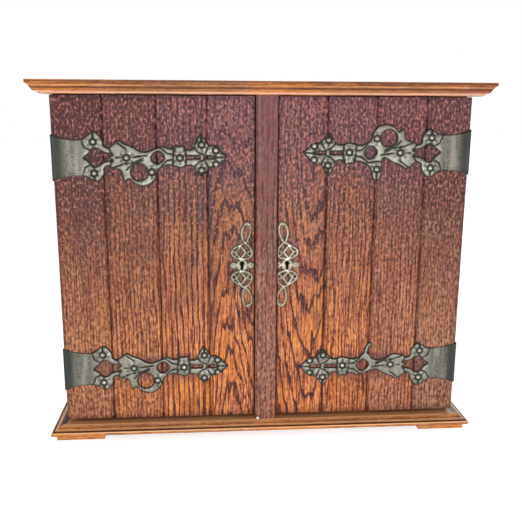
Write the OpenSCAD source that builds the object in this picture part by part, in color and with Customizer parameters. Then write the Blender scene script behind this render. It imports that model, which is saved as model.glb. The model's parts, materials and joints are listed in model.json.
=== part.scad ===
// Table-top key cabinet: two boarded doors on ornate strap hinges either side of a fixed post,
// moulded cornice and plinth, block feet, and rows of key hooks inside.
// Origin: middle of the footprint, under the feet. +X right, +Z up, the doors face -Y.

/* [Cabinet] */
// Width over both closed doors
front_w = 420; // [385:1:510]
// Height of the doors
door_h = 338; // [280:0.1:410]
// Depth of the carcass behind the doors
carcass_d = 120; // [95:1:160]
// Thickness of the sides and the base board
side_t = 12; // [10:0.1:15]
// Thickness of the back panel
back_t = 6; // [5:0.5:8]

/* [Post] */
// Width of the fixed post between the doors
post_w = 22; // [18:0.5:26]
// Offset of the post to the right of the middle
post_shift = 1.5; // [-3:0.5:3]
// How far the post stands in front of the doors
post_proud = 3; // [1:0.5:4]
// How far the post reaches into the carcass
post_in = 18; // [16:1:24]

/* [Cornice] */
// Overhang of the cornice beyond the doors
cornice_out = 18.3; // [16:0.1:22]
// Height of the cornice and of the top board
cornice_h = 13; // [12:0.5:16]
// Gap between the doors and the cornice
top_gap = 0.8; // [0.6:0.1:2]

/* [Plinth] */
// Overhang of the plinth beyond the doors
plinth_out = 15.4; // [13:0.1:18]
// Height of the plinth moulding
plinth_h = 9; // [8:0.5:12]
// Gap between the plinth and the doors
foot_gap = 3.9; // [3.3:0.1:6]
// Width of a foot
foot_w = 50; // [40:1:60]
// Depth of a foot from front to back
foot_d = 42; // [36:1:45]
// Height of a foot
foot_h = 6.5; // [5:0.5:10]
// Step back of the feet from the edge of the plinth
foot_inset = 5; // [3:0.5:8]

/* [Doors] */
// Thickness of the door boards
door_t = 14; // [11.5:0.1:17]
// Gap between a door and the post
edge_gap = 0.8; // [0.6:0.1:1.5]
// Gap between the back of a door and the carcass
back_gap = 1; // [0.8:0.1:1.5]
// Left door's board widths from the post outwards, the hinge board takes the rest
left_widths = [48.2, 50, 52.5]; // [44:0.1:54]
// Right door's board widths from the post outwards, the hinge board takes the rest
right_widths = [49.7, 50.3, 51]; // [44:0.1:54]
// Size of the chamfer on a board's edge, half of a V-joint
chamfer = 1.6; // [1:0.1:3]
// Height of a door batten
batten_h = 38; // [30:1:45]
// Thickness of a door batten
batten_t = 10; // [8:0.5:12]

/* [Hinges] */
// Distances of the left hinges from the foot and from the head of the door
left_hinges = [57, 60]; // [50:0.5:70]
// Distances of the right hinges from the foot and from the head of the door
right_hinges = [54, 55.5]; // [50:0.5:70]
// Distance of the straps' tips from the middle of the cabinet
tip_gap = 38; // [30:0.5:45]
// Thickness of a strap
strap_t = 1.6; // [1.2:0.1:2]
// Thickness of a leaf, and of the strap where it turns round the door's edge
leaf_t = 1; // [0.8:0.1:1.2]
// Depth of the fixed leaf along the side
leaf_d = 30; // [24:1:36]
// Length of the hinge barrel
barrel_l = 42; // [36:1:44]
// Outer radius of the hinge barrel
barrel_r = 2.2; // [2:0.1:2.4]
// Radius of the hinge pin
pin_r = 1.2; // [1:0.1:1.4]
// Radial clearance of the hinge pin
pin_clear = 0.05; // [0.02:0.01:0.1]
// Radius of a stud's dome head
stud_r = 2.3; // [1.8:0.1:2.6]

/* [Locks] */
// Distance from the left door's inner edge to its keyhole
left_key = 13.2; // [12:0.1:16]
// Distance from the right door's inner edge to its keyhole
right_key = 10.2; // [9:0.1:12]
// Height of the keyholes above the foot of the door
key_z = 167; // [150:0.5:200]
// Thickness of an escutcheon
plate_t = 1.5; // [1:0.1:2]
// Width of the lock case
case_w = 50; // [44:1:56]
// Height of the lock case
case_h = 40; // [36:1:46]
// Depth of the lock case
case_d = 10; // [9:0.5:11]
// Throw of the bolt
throw = 6; // [4:0.1:7.5]

/* [Hooks] */
// Hooks in a row
hooks = 11; // [7:1:12]
// Distance between hooks
hook_pitch = 33; // [27:0.5:36]
// Reach of a hook from its rail
hook_reach = 15; // [12:0.5:18]
// Radius of the hook wire
hook_r = 1.2; // [1:0.1:1.5]
// Height of a hook rail
rail_h = 26; // [20:1:30]
// Thickness of a hook rail
rail_t = 11; // [9:0.5:14]
// Distance of the top rail below the top board
rail_drop = 52; // [45:1:60]
// Distance between hook rails
rail_pitch = 88; // [70:1:95]

/* [Hidden] */

// depths, front to back
total_d = cornice_out + door_t + back_gap + carcass_d;
face_y = -total_d / 2 + cornice_out;
door_back = face_y + door_t;
carcass_y = door_back + back_gap;
rear_y = total_d / 2;
panel_y = rear_y - back_t;
rail_y = panel_y - rail_t;
// heights
plinth_top = foot_h + plinth_h;
door_z = plinth_top + foot_gap;
lid_z = door_z + door_h + top_gap;
top_z = lid_z + cornice_h;
floor_z = foot_h + side_t;
// widths
half = front_w / 2;
inner = half - side_t;
post_l = post_shift - post_w / 2;
post_r = post_shift + post_w / 2;
left_edge = post_l - edge_gap;
right_edge = post_r + edge_gap;
// hinge axis
axis_x = half + 0.3;
axis_y = door_back + back_gap / 2;
clear = 0.4;
knuckle = barrel_l / 3;
eps = 0.01;
// joint between two boards
tongue_t = 4.5;
tongue_l = 4;
tongue_clear = 0.15;
// bolt of a lock
bolt_h = 9;
bolt_t = 3.5;
bolt_y = door_back + 4;
bolt_up = 8;
case_wall = 1.4;
case_inset = 1;
bolt_clear = 0.6;
stump_r = 1.8;
// rails
rail_zs = [for (i = [0 : 2]) lid_z - rail_drop - i * rail_pitch];
// heights of the hinges, bottom and top
left_zs = [door_z + left_hinges[0], door_z + door_h - left_hinges[1]];
right_zs = [door_z + right_hinges[0], door_z + door_h - right_hinges[1]];

wood = [0.62, 0.33, 0.18];
dark_wood = [0.42, 0.24, 0.18];
pale_wood = [0.66, 0.42, 0.22];
pewter = [0.45, 0.47, 0.43];
iron = [0.33, 0.32, 0.30];
brass = [0.72, 0.62, 0.38];
bright = [0.80, 0.77, 0.68];

// ---------- shared shapes ----------

// corner cutting: every pass rounds a closed outline a little more
function rounder(p) = [for (i = [0 : len(p) - 1])
    let (a = p[i], b = p[(i + 1) % len(p)])
    each [a * 0.75 + b * 0.25, a * 0.25 + b * 0.75]];

function unit(v) = v / norm(v);

function key_in(side) = side > 0 ? right_key : left_key;

function hinge_zs(side) = side > 0 ? right_zs : left_zs;

// point of a closed line moved sideways by w, square to its neighbours
function beside(p, w) = [for (i = [0 : len(p) - 1])
    let (t = unit(p[(i + 1) % len(p)] - p[(i + len(p) - 1) % len(p)]))
    p[i] + w * [-t[1], t[0]]];

function arc(c, r, a0, a1, n) = [for (i = [0 : n]) let (a = a0 + (a1 - a0) * i / n)
    c + r * [cos(a), sin(a)]];

// a closed band of width w along a line of points
module band(p, w) {
    q = rounder(rounder(p));
    difference() {
        polygon(beside(q, -w / 2));
        polygon(beside(q, w / 2));
    }
}

// countersunk screw along -Y from the origin, its slotted head flush
module screw(r, l) {
    rotate([90, 0, 0]) difference() {
        union() {
            translate([0, 0, -l]) cylinder(h = l, r = r * 0.5, $fn = 24);
            translate([0, 0, -r * 0.6]) cylinder(h = r * 0.6, r1 = r * 0.5, r2 = r, $fn = 24);
            cylinder(h = 0.4, r = r, $fn = 24);
        }
        translate([-r, -0.3, 0.1]) cube([2 * r, 0.6, 1]);
    }
}

// dome head on the plane y = 0 towards -Y with its shank behind
module dome(r, h, shank_r, shank_l) {
    big = (r * r + h * h) / (2 * h);
    rotate([90, 0, 0]) {
        rotate_extrude($fn = 32) intersection() {
            translate([0, h - big]) circle(big, $fn = 64);
            square([r, h]);
        }
        translate([0, 0, -shank_l]) cylinder(h = shank_l, r = shank_r, $fn = 24);
    }
}

// the right-hand shape, or the same turned half a turn onto the left
module hand(side, z) {
    translate([0, 0, z]) rotate([0, side > 0 ? 0 : 180, 0]) children();
}

// ---------- carcass ----------

module side_panel(side) {
    difference() {
        translate([side > 0 ? inner : -half, carcass_y, foot_h])
            cube([side_t, carcass_d, lid_z - foot_h]);
        translate([side > 0 ? inner - eps : -inner - side_t / 2, panel_y, floor_z - side_t - eps])
            cube([side_t / 2 + eps, back_t + eps, lid_z]);
        for (z = hinge_zs(side))
            hand(side, z) translate([axis_x - barrel_r - clear, carcass_y - eps, -barrel_l / 2 - clear])
                cube([2 * barrel_r, barrel_r + clear - back_gap / 2 + eps, barrel_l + 2 * clear]);
    }
}

module side_left() { color(wood) side_panel(-1); }
module side_right() { color(wood) side_panel(1); }

module base_board() {
    color(dark_wood) translate([-inner, carcass_y, foot_h]) cube([2 * inner, carcass_d - back_t, side_t]);
}

module back_panel() {
    w = 2 * (inner + side_t / 2);
    color(dark_wood) translate([-w / 2, panel_y, foot_h]) cube([w, back_t, lid_z - foot_h]);
}

module top_board() {
    color(pale_wood) translate([-half, carcass_y, lid_z]) cube([front_w, carcass_d, cornice_h]);
}

module centre_post() {
    c = 1.2;
    fy = face_y - post_proud;
    color(dark_wood) difference() {
        union() {
            translate([0, 0, plinth_top]) linear_extrude(lid_z - plinth_top)
                polygon([[post_l, carcass_y], [post_l, fy + c], [post_l + c, fy],
                         [post_r - c, fy], [post_r, fy + c], [post_r, carcass_y]]);
            translate([post_l, carcass_y - eps, floor_z]) cube([post_w, post_in, lid_z - floor_z]);
        }
        for (side = [-1, 1])
            translate([side > 0 ? post_r - throw - 1 : post_l - eps, bolt_y - bolt_clear,
                       door_z + key_z + bolt_up - bolt_clear - bolt_h / 2])
                cube([throw + 1 + eps, bolt_t + 2 * bolt_clear, bolt_h + 2 * bolt_clear]);
        translate([post_l + 2.6, fy - eps, door_z - 1.7]) rotate([-90, 0, 0])
            cylinder(h = 8, r = 0.8, $fn = 24);
    }
}

// small ball on a neck, driven into the foot of the post
module ball_pin() {
    color(bright) translate([post_l + 2.6, face_y - post_proud, door_z - 1.7]) {
        translate([0, -3, 0]) sphere(2, $fn = 48);
        translate([0, -3, 0]) rotate([-90, 0, 0]) cylinder(h = 11, r = 0.8, $fn = 24);
    }
}

// ---------- mouldings ----------

// distance in front of the doors and height, from the top down
cornice_profile = concat(
    [[-door_t - back_gap, 0], [-door_t - back_gap, cornice_h], [cornice_out, cornice_h],
     [cornice_out, cornice_h - 3]],
    arc([cornice_out, cornice_h - 6.1], 2.7, 100, 170, 5),
    [[cornice_out - 3.6, cornice_h - 6.4], [cornice_out - 3.6, cornice_h - 7]],
    arc([cornice_out - 8.2, cornice_h - 6.9], 3.9, -15, -75, 5),
    [[cornice_out - 9, cornice_h - 11], [cornice_out - 9, cornice_h - 11.6],
     [cornice_out - 11, cornice_h - 13 + eps], [cornice_out - 12, 0]]);

plinth_profile = concat(
    [[-door_t - back_gap, 0], [-door_t - back_gap, plinth_h], [plinth_out - 10.4, plinth_h]],
    arc([plinth_out - 10.4, plinth_h - 0.6], 0.6, 80, 10, 3),
    arc([plinth_out - 3.2, plinth_h + 1.6], 5.4, 205, 262, 6),
    [[plinth_out - 3, plinth_h - 4.6], [plinth_out - 1.8, plinth_h - 4.6]],
    arc([plinth_out - 2.3, plinth_h - 6.9], 2.3, 78, -60, 8),
    [[plinth_out - 1.6, 0]]);

// one run of a moulding that overhangs by out, mitred at the front corners
module run(part, profile, out, z, h) {
    fy = face_y - out;
    far = half + out + 1;
    if (part == "front")
        intersection() {
            translate([-far, face_y, z]) rotate([90, 0, 90]) linear_extrude(2 * far)
                mirror([1, 0]) polygon(profile);
            translate([0, 0, z - 1]) linear_extrude(h + 2)
                polygon([[-half - out, fy], [half + out, fy], [half, face_y], [half, carcass_y],
                         [-half, carcass_y], [-half, face_y]]);
        }
    else
        mirror([part == "left" ? 1 : 0, 0, 0]) intersection() {
            translate([half, rear_y, z]) rotate([90, 0, 0]) linear_extrude(total_d + 1)
                intersection() {
                    polygon(profile);
                    square([out + 1, h + 1]);
                }
            translate([0, 0, z - 1]) linear_extrude(h + 2)
                polygon([[half, face_y], [half + out, fy], [far, fy], [far, rear_y], [half, rear_y]]);
        }
}

module cornice_front() { color(pale_wood) run("front", cornice_profile, cornice_out, lid_z, cornice_h); }
module cornice_left() { color(pale_wood) run("left", cornice_profile, cornice_out, lid_z, cornice_h); }
module cornice_right() { color(pale_wood) run("right", cornice_profile, cornice_out, lid_z, cornice_h); }
module plinth_front() { color(pale_wood) run("front", plinth_profile, plinth_out, foot_h, plinth_h); }
module plinth_left() { color(pale_wood) run("left", plinth_profile, plinth_out, foot_h, plinth_h); }
module plinth_right() { color(pale_wood) run("right", plinth_profile, plinth_out, foot_h, plinth_h); }

module foot(side, front) {
    x = half + plinth_out - foot_inset - foot_w;
    y = front ? face_y - plinth_out + foot_inset : rear_y - foot_d;
    c = 1;
    color(wood) mirror([side > 0 ? 0 : 1, 0, 0]) translate([x, y, 0]) rotate([90, 0, 90])
        linear_extrude(foot_w) polygon([[c, 0], [foot_d - c, 0], [foot_d, c], [foot_d, foot_h],
                                        [0, foot_h], [0, c]]);
}

module foot_front_left() { foot(-1, true); }
module foot_front_right() { foot(1, true); }
module foot_rear_left() { foot(-1, false); }
module foot_rear_right() { foot(1, false); }

// ---------- hooks ----------

function hook_xs() = [for (i = [0 : hooks - 1]) (i - (hooks - 1) / 2) * hook_pitch];

module hook_rail(n) {
    c = 2;
    color(pale_wood) difference() {
        translate([-inner + 0.5, 0, rail_zs[n] - rail_h / 2]) rotate([90, 0, 90])
            linear_extrude(2 * inner - 1)
                polygon([[rail_y + c, 0], [panel_y, 0], [panel_y, rail_h], [rail_y + c, rail_h],
                         [rail_y, rail_h - c], [rail_y, c]]);
        for (x = hook_xs())
            translate([x, rail_y - eps, rail_zs[n]]) rotate([-90, 0, 0]) cylinder(h = 8, r = hook_r, $fn = 24);
    }
}

module hook_rail_top() { hook_rail(0); }
module hook_rail_middle() { hook_rail(1); }
module hook_rail_bottom() { hook_rail(2); }

// screw-in hook: collar, straight shank, a bend and an upright tip
module key_hook() {
    bend = 2.6;
    tip = 7;
    translate([0, -hook_reach + bend, 0]) rotate([-90, 0, 0])
        cylinder(h = hook_reach - bend + 7.9, r = hook_r, $fn = 24);
    rotate([90, 0, 0]) cylinder(h = 0.9, r = 3, $fn = 32);
    translate([0, -hook_reach + bend, bend]) rotate([0, -90, 0]) rotate([0, 0, 180])
        rotate_extrude(angle = 90, $fn = 48) translate([bend, 0]) circle(hook_r, $fn = 24);
    translate([0, -hook_reach, bend]) cylinder(h = tip - bend, r = hook_r, $fn = 24);
    translate([0, -hook_reach, tip]) sphere(hook_r, $fn = 24);
}

module hook_row(n) {
    color(brass) for (x = hook_xs()) translate([x, rail_y, rail_zs[n]]) key_hook();
}

module key_hooks_top() { hook_row(0); }
module key_hooks_middle() { hook_row(1); }
module key_hooks_bottom() { hook_row(2); }

module rail_screws() {
    color(brass) for (z = rail_zs, x = [-2.5, -0.5, 0.5, 2.5])
        translate([x * 2 * hook_pitch - sign(x) * hook_pitch / 2, rail_y - 0.4, z]) mirror([0, 1, 0])
            rotate([0, 0, 180]) screw(2.6, rail_t + 3);
}

// ---------- hinges ----------

// strap outline: distance from the door's edge, height over the centre line; on a door of
// another width the plain plate takes up the difference, so that the tip keeps its place
pattern_l = 172;
stretch = half - tip_gap - pattern_l;
lower_line = [
    [20, -17.3], [29, -17.6], [34, -21], [40, -26], [45, -23.5], [50, -17], [50.5, -11], [54.5, -9.5],
    [60, -13.5], [65, -17.5], [70, -13.5], [78, -11], [85, -6.5], [90, -5]];
leaf_line = [[90.5, -12], [90, -20], [92, -27], [96, -29.5], [100, -27], [101.5, -20], [103, -15.5]];
tail_line = [
    [107, -12], [111, -9.5], [118, -8.6], [119, -12.5], [124, -10.5], [129, -12.5], [131, -8],
    [137, -7.5], [139, -12], [142, -18], [145.5, -24.5], [149.5, -18], [153, -12], [159, -12],
    [164, -9], [167, -5], [172, -0.7], [172, 0.7], [167.5, 4.5], [164, 8.5], [159, 10.5], [154, 10.5],
    [151, 15], [146, 20.5], [141, 14.5], [137.5, 8.5], [131, 8.5], [126, 11], [120, 9.5], [113, 7.5],
    [107, 9.5], [104, 12]];
ring_line = concat(arc([87.5, 14.5], 14.5, 0, 150, 12), [[72.5, 22], [69.5, 26], [67, 18]]);
stub_line = concat(arc([87.5, 14.5], 14.5, 0, 62, 5), arc([87.5, 14.5], 10, 62, 20, 3),
    [[94, 9], [86, 5.5], [78, 8], [71, 13]]);
upper_line = [
    [66, 12.5], [60, 12], [54.5, 8.5], [50.5, 9.5], [50.5, 16], [47, 21.5], [42, 25.5], [36, 21],
    [30, 18.3], [20, 18.5]];
arrow_hole = [[30.5, 0.6], [30.5, 0.6], [36, 4.4], [38.5, 8], [43.5, 9.2], [48, 5.2], [52, 3.4], [60, 3.4],
    [53, 0], [60, -3.2], [52, -3.6], [48, -5.4], [43.5, -9.2], [38.5, -8], [36, -3.6]];
lozenge_hole = [[95.5, 1], [101, 6.8], [106, 5], [109.5, 0], [105, -6], [100, -5]];
slots = [[131, 144], [149, 159]];
stud_places = [[40, 15.5], [40, -15.3], [72, 0.3], [96.5, 14.5], [124.7, 0.5], [146, 12.8],
    [146.3, -12.5], [160.5, 6.8], [160.5, -7]];
leaf_stud = [95.7, -16.5];
strap_edge = [22.3, 23.5];

// the flat pattern, whole or with its ring and hanging leaf lost
module strap_pattern(ring, leaf) {
    line = concat(lower_line, leaf ? leaf_line : [[97, -7.5], [104, -10]], tail_line,
        ring ? ring_line : stub_line, upper_line);
    plate_l = max(17, 24 + stretch);
    polygon([[-leaf_t, -strap_edge[0]], [0, -strap_edge[0]], [8, -19.4], [16, -17.7], [plate_l, -17.2],
             [plate_l, 18], [16, 18.9], [8, 20.3], [0, strap_edge[1]], [-leaf_t, strap_edge[1]]]);
    translate([stretch, 0]) difference() {
        polygon(rounder(line));
        polygon(rounder(arrow_hole));
        polygon(rounder(lozenge_hole));
        if (ring) translate([84.2, 14.7]) circle(8.2, $fn = 48);
        for (s = slots) translate([s[0], -1.3]) square([s[1] - s[0], 2.6]);
        for (s = concat(stud_places, leaf ? [leaf_stud] : [])) translate(s) circle(1.05, $fn = 24);
    }
}

module barrel(z0, z1) {
    translate([axis_x, axis_y, z0]) difference() {
        cylinder(h = z1 - z0, r = barrel_r, $fn = 48);
        translate([0, 0, -1]) cylinder(h = z1 - z0 + 2, r = pin_r + pin_clear, $fn = 48);
    }
}

// strap on the face of the door, turned round its edge to the two outer knuckles
module strap(side, z, ring, leaf) {
    b = barrel_l / 2;
    k = knuckle / 2;
    color(pewter) hand(side, z) {
        translate([half, face_y, 0]) rotate([90, 0, 0]) linear_extrude(strap_t)
            mirror([1, 0]) strap_pattern(ring, leaf);
        difference() {
            translate([half, face_y - eps, -strap_edge[0]])
                cube([leaf_t, axis_y - face_y, strap_edge[0] + strap_edge[1]]);
            translate([half - 1, axis_y - barrel_r - clear, -k - clear])
                cube([leaf_t + 2, barrel_r + clear + 1, 2 * (k + clear)]);
            for (s = [[-strap_edge[0] - 1, -b], [b, strap_edge[1] + 1]])
                translate([half - 1, axis_y - 2 * barrel_r, s[0]]) cube([leaf_t + 2, 2 * barrel_r + 1, s[1] - s[0]]);
            translate([axis_x, axis_y, -b]) cylinder(h = 2 * b, r = pin_r + pin_clear, $fn = 48);
        }
        barrel(-b, -k - clear / 2);
        barrel(k + clear / 2, b);
    }
}

// fixed leaf on the carcass side with the middle knuckle
module leaf(side, z) {
    b = barrel_l / 2;
    k = knuckle / 2 - clear / 2;
    color(pewter) hand(side, z) {
        difference() {
            translate([half, axis_y, -b]) cube([leaf_t, leaf_d, 2 * b]);
            for (s = [[-b - 1, -k], [k, b + 1]])
                translate([half - 1, axis_y - 1, s[0]]) cube([leaf_t + 2, barrel_r + clear + 1, s[1] - s[0]]);
            translate([axis_x, axis_y, -b]) cylinder(h = 2 * b, r = pin_r + pin_clear, $fn = 48);
            for (s = [-1, 1]) translate([half - 1, axis_y + leaf_d * 0.6, s * b * 0.6]) rotate([0, 90, 0])
                cylinder(h = leaf_t + 2, r = 1.35, $fn = 24);
        }
        barrel(-k, k);
    }
}

module leaf_left_top() { leaf(-1, left_zs[1]); }
module leaf_left_bottom() { leaf(-1, left_zs[0]); }
module leaf_right_top() { leaf(1, right_zs[1]); }
module leaf_right_bottom() { leaf(1, right_zs[0]); }

module each_hinge() {
    for (side = [-1, 1], z = hinge_zs(side)) hand(side, z) children();
}

module hinge_pins() {
    color(iron) each_hinge() translate([axis_x, axis_y, -barrel_l / 2 - 0.4])
        cylinder(h = barrel_l + 0.8, r = pin_r, $fn = 48);
}

module leaf_screws() {
    color(iron) each_hinge() for (s = [-1, 1])
        translate([half + leaf_t, axis_y + leaf_d * 0.6, s * barrel_l * 0.3]) rotate([0, 0, 90])
            dome(2.3, 1, 1.3, 9);
}

module left_strap_top() { strap(-1, left_zs[1], true, false); }
module left_strap_bottom() { strap(-1, left_zs[0], true, false); }
module right_strap_top() { strap(1, right_zs[1], true, true); }
module right_strap_bottom() { strap(1, right_zs[0], false, false); }

module studs(side) {
    color(bright) for (i = [0, 1]) hand(side, hinge_zs(side)[i])
        for (p = concat(side > 0 && i == 0 ? [for (s = stud_places) if (s != stud_places[3]) s] : stud_places,
                        side > 0 && i == 1 ? [leaf_stud] : []))
            translate([half - stretch - p[0], face_y - strap_t, p[1]]) dome(stud_r, 1.4, 0.95, strap_t + 8);
}

module left_studs() { studs(-1); }
module right_studs() { studs(1); }

// ---------- doors ----------

left_cuts = [left_edge, left_edge - left_widths[0], left_edge - left_widths[0] - left_widths[1],
    left_edge - left_widths[0] - left_widths[1] - left_widths[2], -half];
right_cuts = [right_edge, right_edge + right_widths[0], right_edge + right_widths[0] + right_widths[1],
    right_edge + right_widths[0] + right_widths[1] + right_widths[2], half];

// one board from x0 to x1: a groove at x0 and a tongue at x1, or a plain edge
module board_section(x0, x1, groove, tongue) {
    m = (face_y + door_back) / 2;
    g = tongue_t / 2 + tongue_clear;
    d = tongue_l + tongue_clear;
    c0 = groove ? chamfer : 1;
    c1 = tongue ? chamfer : 1;
    polygon(concat(
        [[x0, face_y + c0], [x0 + c0, face_y], [x1 - c1, face_y], [x1, face_y + c1]],
        tongue ? [[x1, m - tongue_t / 2], [x1 + tongue_l, m - tongue_t / 2],
                  [x1 + tongue_l, m + tongue_t / 2], [x1, m + tongue_t / 2]] : [],
        [[x1, door_back], [x0, door_back]],
        groove ? [[x0, m + g], [x0 + d, m + g], [x0 + d, m - g], [x0, m - g]] : []));
}

// board n of a door, counted from the hinges to the post
module board(side, n) {
    cuts = side > 0 ? right_cuts : left_cuts;
    key_x = side > 0 ? right_edge + right_key : left_edge - left_key;
    a = cuts[4 - n];
    b = cuts[5 - n];
    color(wood) difference() {
        translate([0, 0, door_z]) linear_extrude(door_h)
            board_section(min(a, b), max(a, b), side > 0 ? n != 4 : n != 1, side > 0 ? n != 1 : n != 4);
        if (n == 1)
            for (z = hinge_zs(side))
                hand(side, z)
                    translate([axis_x - barrel_r - clear, axis_y - barrel_r - clear, -barrel_l / 2 - 1])
                        cube([2 * barrel_r + 2, barrel_r + clear + 1, barrel_l + 2]);
        if (n == 4)
            translate([key_x, face_y - 1, door_z + key_z]) rotate([-90, 0, 0]) {
                translate([0, -2, 0]) cylinder(h = door_t + 2, r = 3.6, $fn = 32);
                translate([-2.5, -2, 0]) cube([5, 9, door_t + 2]);
            }
    }
}

module left_board_1() { board(-1, 1); }
module left_board_2() { board(-1, 2); }
module left_board_3() { board(-1, 3); }
module left_board_4() { board(-1, 4); }
module right_board_1() { board(1, 1); }
module right_board_2() { board(1, 2); }
module right_board_3() { board(1, 3); }
module right_board_4() { board(1, 4); }

module batten(side, i) {
    a = side > 0 ? right_edge + 3 : -inner + 4;
    b = side > 0 ? inner - 4 : left_edge - 3;
    c = 2;
    color(wood) translate([a, 0, hinge_zs(side)[i] - batten_h / 2]) rotate([90, 0, 90])
        linear_extrude(b - a) polygon([[door_back, 0], [door_back + batten_t - c, 0],
            [door_back + batten_t, c], [door_back + batten_t, batten_h - c],
            [door_back + batten_t - c, batten_h], [door_back, batten_h]]);
}

module left_batten_top() { batten(-1, 1); }
module left_batten_bottom() { batten(-1, 0); }
module right_batten_top() { batten(1, 1); }
module right_batten_bottom() { batten(1, 0); }

// screws through the battens and through the ears of the lock case
module door_screws(side) {
    cuts = side > 0 ? right_cuts : left_cuts;
    edge = cuts[0];
    color(brass) {
        for (z = hinge_zs(side), n = [0 : 3], s = [-1, 1])
            translate([(cuts[n] + cuts[n + 1]) / 2 - side * (n == 3 ? 6 : 0), door_back + batten_t + 0.4, z + s * 11])
                rotate([0, 0, 180]) screw(2.4, batten_t + 6);
        for (x = [5, case_w - 5], s = [-1, 1])
            translate([edge + side * (case_inset + x), door_back + case_wall + 0.4,
                       door_z + key_z + s * (case_h / 2 + 3.5)])
                rotate([0, 0, 180]) screw(1.9, 8);
    }
}

module left_door_screws() { door_screws(-1); }
module right_door_screws() { door_screws(1); }

// ---------- locks ----------

// the lock in its own frame: x from the door's inner edge into the door, z from the keyhole
module lock_place(side) {
    translate([side > 0 ? right_edge : left_edge, 0, door_z + key_z])
        mirror([side > 0 ? 0 : 1, 0, 0]) children();
}

module lock_case(side) {
    color(iron) lock_place(side) {
        difference() {
            union() {
                translate([case_inset, door_back, -case_h / 2]) cube([case_w, case_d, case_h]);
                translate([case_inset, door_back, -case_h / 2 - 7]) cube([case_w, case_wall, case_h + 14]);
            }
            translate([case_inset + case_wall, door_back - 1, -case_h / 2 + case_wall])
                cube([case_w - 2 * case_wall, case_d + 1 - case_wall, case_h - 2 * case_wall]);
            translate([case_inset - 1, bolt_y - bolt_clear, bolt_up - bolt_h / 2 - bolt_clear])
                cube([case_wall + 2, bolt_t + 2 * bolt_clear, bolt_h + 2 * bolt_clear]);
            for (x = [5, case_w - 5], s = [-1, 1])
                translate([case_inset + x, door_back - 1, s * (case_h / 2 + 3.5)]) rotate([-90, 0, 0])
                    cylinder(h = case_wall + 2, r = 1.2, $fn = 24);
        }
        translate([case_inset + 30, bolt_y - 1.5, bolt_up]) rotate([-90, 0, 0])
            cylinder(h = door_back + case_d - bolt_y + 1, r = stump_r, $fn = 32);
    }
}

module left_lock_case() { lock_case(-1); }
module right_lock_case() { lock_case(1); }

// bolt with a slot for the stump, a notch for the key and a bowed back spring
module lock_bolt(side) {
    l = 41;
    bow = 5.4;
    low = bolt_up - bolt_h / 2;
    color(brass) lock_place(side) translate([0, bolt_y, 0]) {
        difference() {
            translate([case_inset, 0, low]) cube([l, bolt_t, bolt_h]);
            translate([key_in(side) - 3, -1, low - 1]) cube([6, bolt_t + 2, 3.5]);
            for (x = [0, throw])
                translate([case_inset + 30 + x, -1, bolt_up]) rotate([-90, 0, 0])
                    cylinder(h = bolt_t + 2, r = stump_r + 0.2, $fn = 32);
            translate([case_inset + 30, -1, bolt_up - stump_r - 0.2])
                cube([throw, bolt_t + 2, 2 * stump_r + 0.4]);
        }
        translate([case_inset + 10, bolt_t, bolt_up + bolt_h / 2 - 0.3]) rotate([90, 0, 0])
            linear_extrude(bolt_t) polygon(concat(
                [for (i = [0 : 8]) [i * 3.5, bow * sin(i * 22.5)]],
                [for (i = [8 : -1 : 0]) [i * 3.5, bow * sin(i * 22.5) + 0.7]]));
    }
}

module left_lock_bolt() { lock_bolt(-1); }
module right_lock_bolt() { lock_bolt(1); }

// ---------- escutcheons ----------

// bands of the knot, each anticlockwise: u away from the post, v up from the keyhole
top_loop = [[-3.2, 22], [0.3, 30], [0.4, 37], [-3, 43.5], [-6.5, 44.5], [-9.3, 40], [-8, 31]];
upper_knot = [[-3.2, 24.5], [-9.8, 17], [-10.8, 10], [-5, 6.5], [5, 6.5], [11.3, 12], [10, 17], [3, 20.5]];
lower_knot = [[-3.2, -24.5], [3, -20.5], [10, -16], [11.3, -11], [5, -6.5], [-5, -6.5], [-10.8, -11], [-10, -17.5]];
bottom_loop = [[-3.2, -22.5], [-9.5, -31], [-10.5, -40], [-7, -44.5], [-3.5, -44], [-0.8, -38], [-0.6, -30]];
knot_w = 2.3;
diamond_places = [[1.4, 13.6], [1, -13.9]];
trim = 0.3;
nail_places = [[-5.5, 42.6], [10, 0], [-9.6, 0], [-6.6, -43]];

module keyhole() {
    translate([0, 1.8]) circle(2.1, $fn = 32);
    translate([-1.1, -4.6]) square([2.2, 6.4]);
}

module diamond(w, h) {
    polygon([[w, 0], [0, h], [-w, 0], [0, -h]]);
}

module knot() {
    difference() {
        union() {
            band(top_loop, knot_w);
            band(upper_knot, knot_w);
            band(lower_knot, knot_w);
            band(bottom_loop, knot_w);
            for (p = diamond_places) translate(p) difference() {
                diamond(6.8, 8.4);
                diamond(3.6, 4.9);
            }
            for (p = [[8.5, 12], [-8.2, 12.5], [8.5, -12.5], [-8.2, -12.5]]) translate(p) difference() {
                circle(3.3, $fn = 32);
                circle(1.5, $fn = 24);
            }
            circle(6.2, $fn = 48);
            for (u = [-9, 9]) translate([u, 0]) circle(3.6, $fn = 32);
            for (p = nail_places) translate(p) circle(2, $fn = 32);
        }
        keyhole();
        for (p = nail_places) translate(p) circle(0.75, $fn = 24);
    }
}

// nails that fall on the plate once it is trimmed beside the post
function nails(side) = [for (p = nail_places) if (p[0] > trim - key_in(side) + 1) p];

module escutcheon(side) {
    room = key_in(side) - trim;
    color(side > 0 ? bright : brass) lock_place(side)
        translate([key_in(side), face_y, 0]) rotate([90, 0, 0]) linear_extrude(plate_t) intersection() {
            knot();
            translate([-room, -60]) square([room + 30, 120]);
        }
}

module escutcheon_pins(side) {
    color(side > 0 ? bright : brass) lock_place(side) for (p = nails(side))
        translate([key_in(side) + p[0], face_y - plate_t, p[1]]) dome(1.2, 0.6, 0.65, plate_t + 5);
}

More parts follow.
